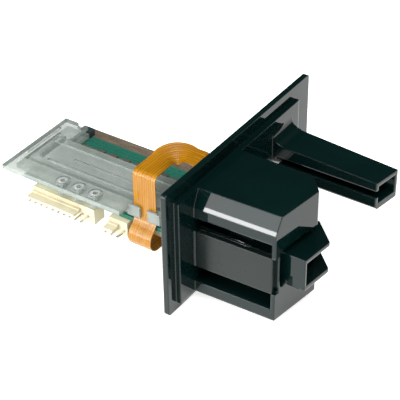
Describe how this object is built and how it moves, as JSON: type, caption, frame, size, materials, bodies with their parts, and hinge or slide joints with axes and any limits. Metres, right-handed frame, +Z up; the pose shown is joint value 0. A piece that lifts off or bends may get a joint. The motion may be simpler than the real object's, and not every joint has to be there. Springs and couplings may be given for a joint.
{
  "type": "insertion card validator",
  "caption": "Panel-mounted insertion card validator: glossy bezel with two guide arms, clear rear card guide, control board, floating read head and flex lead.",
  "frame": {"origin": "centre of the panel flange's rear face, which seats on the front of the host's panel", "axes": "+X to the user's right along the flange's width, -Y towards the user (the card goes in along +Y), +Z up"},
  "size_m": [0.09, 0.1192, 0.0494],
  "materials": {
    "bezel": "glossy black",
    "cover": "glossy black",
    "lens": "dark smoked",
    "led": "clear",
    "light_bar": "milky white, polished",
    "steel": "bright",
    "brass": "machined",
    "clear": "clear moulded polycarbonate",
    "board": "green solder mask",
    "chip": "matt black",
    "capacitor": "matt",
    "header": "cream nylon",
    "tinned": "tinned",
    "flex": "amber polyimide with copper traces",
    "stiffener": "bare laminate",
    "head": "satin shielding can",
    "lever": "natural acetal",
    "sensor": "matt black"
  },
  "bodies": {
    "housing": {"bezel": "bezel", "side_cover": "cover", "status_lens": "lens", "status_led": "led", "entry_light_bar": "light_bar", "panel_inserts": "brass", "upper_guide": "clear", "lower_guide": "clear", "guide_rivets": "lever", "bezel_screws": "steel", "control_board": "board", "board_chips": "chip", "board_capacitors": "capacitor", "header_10_body": "header", "header_10_pins": "tinned", "header_3_body": "header", "header_3_pins": "tinned", "flex_connector": "header", "head_flex": "flex", "flex_stiffener": "stiffener", "head_springs": "steel", "lever_pins": "steel", "entry_sensor": "sensor", "end_sensor": "sensor", "board_screws": "steel"},
    "yoke": {"head_yoke": "steel", "head_pivot": "steel"},
    "head": {"read_head": "head"},
    "entry_lever": {"entry_lever": "lever"},
    "end_lever": {"end_lever": "lever"}
  },
  "joints": [
    {"name": "head_float", "type": "slide", "parent": "housing", "child": "yoke", "axis": [0, 0, 1], "range_m": [0, 0.0009], "stiffness_N_per_m": 900, "springref_m": -0.0006, "deforming": ["head_springs"]},
    {"name": "head_tilt", "type": "hinge", "parent": "yoke", "child": "head", "pos_m": [-0.0179, -0.017, 0.0089], "axis": [0, 1, 0], "range_deg": [-2.5, 2.5], "stiffness_Nm_per_rad": 0.02},
    {"name": "entry_lever_press", "type": "hinge", "parent": "housing", "child": "entry_lever", "pos_m": [-0.0245, 0.0085, 0.00195], "axis": [1, 0, 0], "range_deg": [-13, 0], "stiffness_Nm_per_rad": 0.002, "springref_deg": 11.46},
    {"name": "end_lever_press", "type": "hinge", "parent": "housing", "child": "end_lever", "pos_m": [-0.0245, 0.0585, 0.00195], "axis": [1, 0, 0], "range_deg": [-13, 0], "stiffness_Nm_per_rad": 0.002, "springref_deg": 11.46}
  ]
}
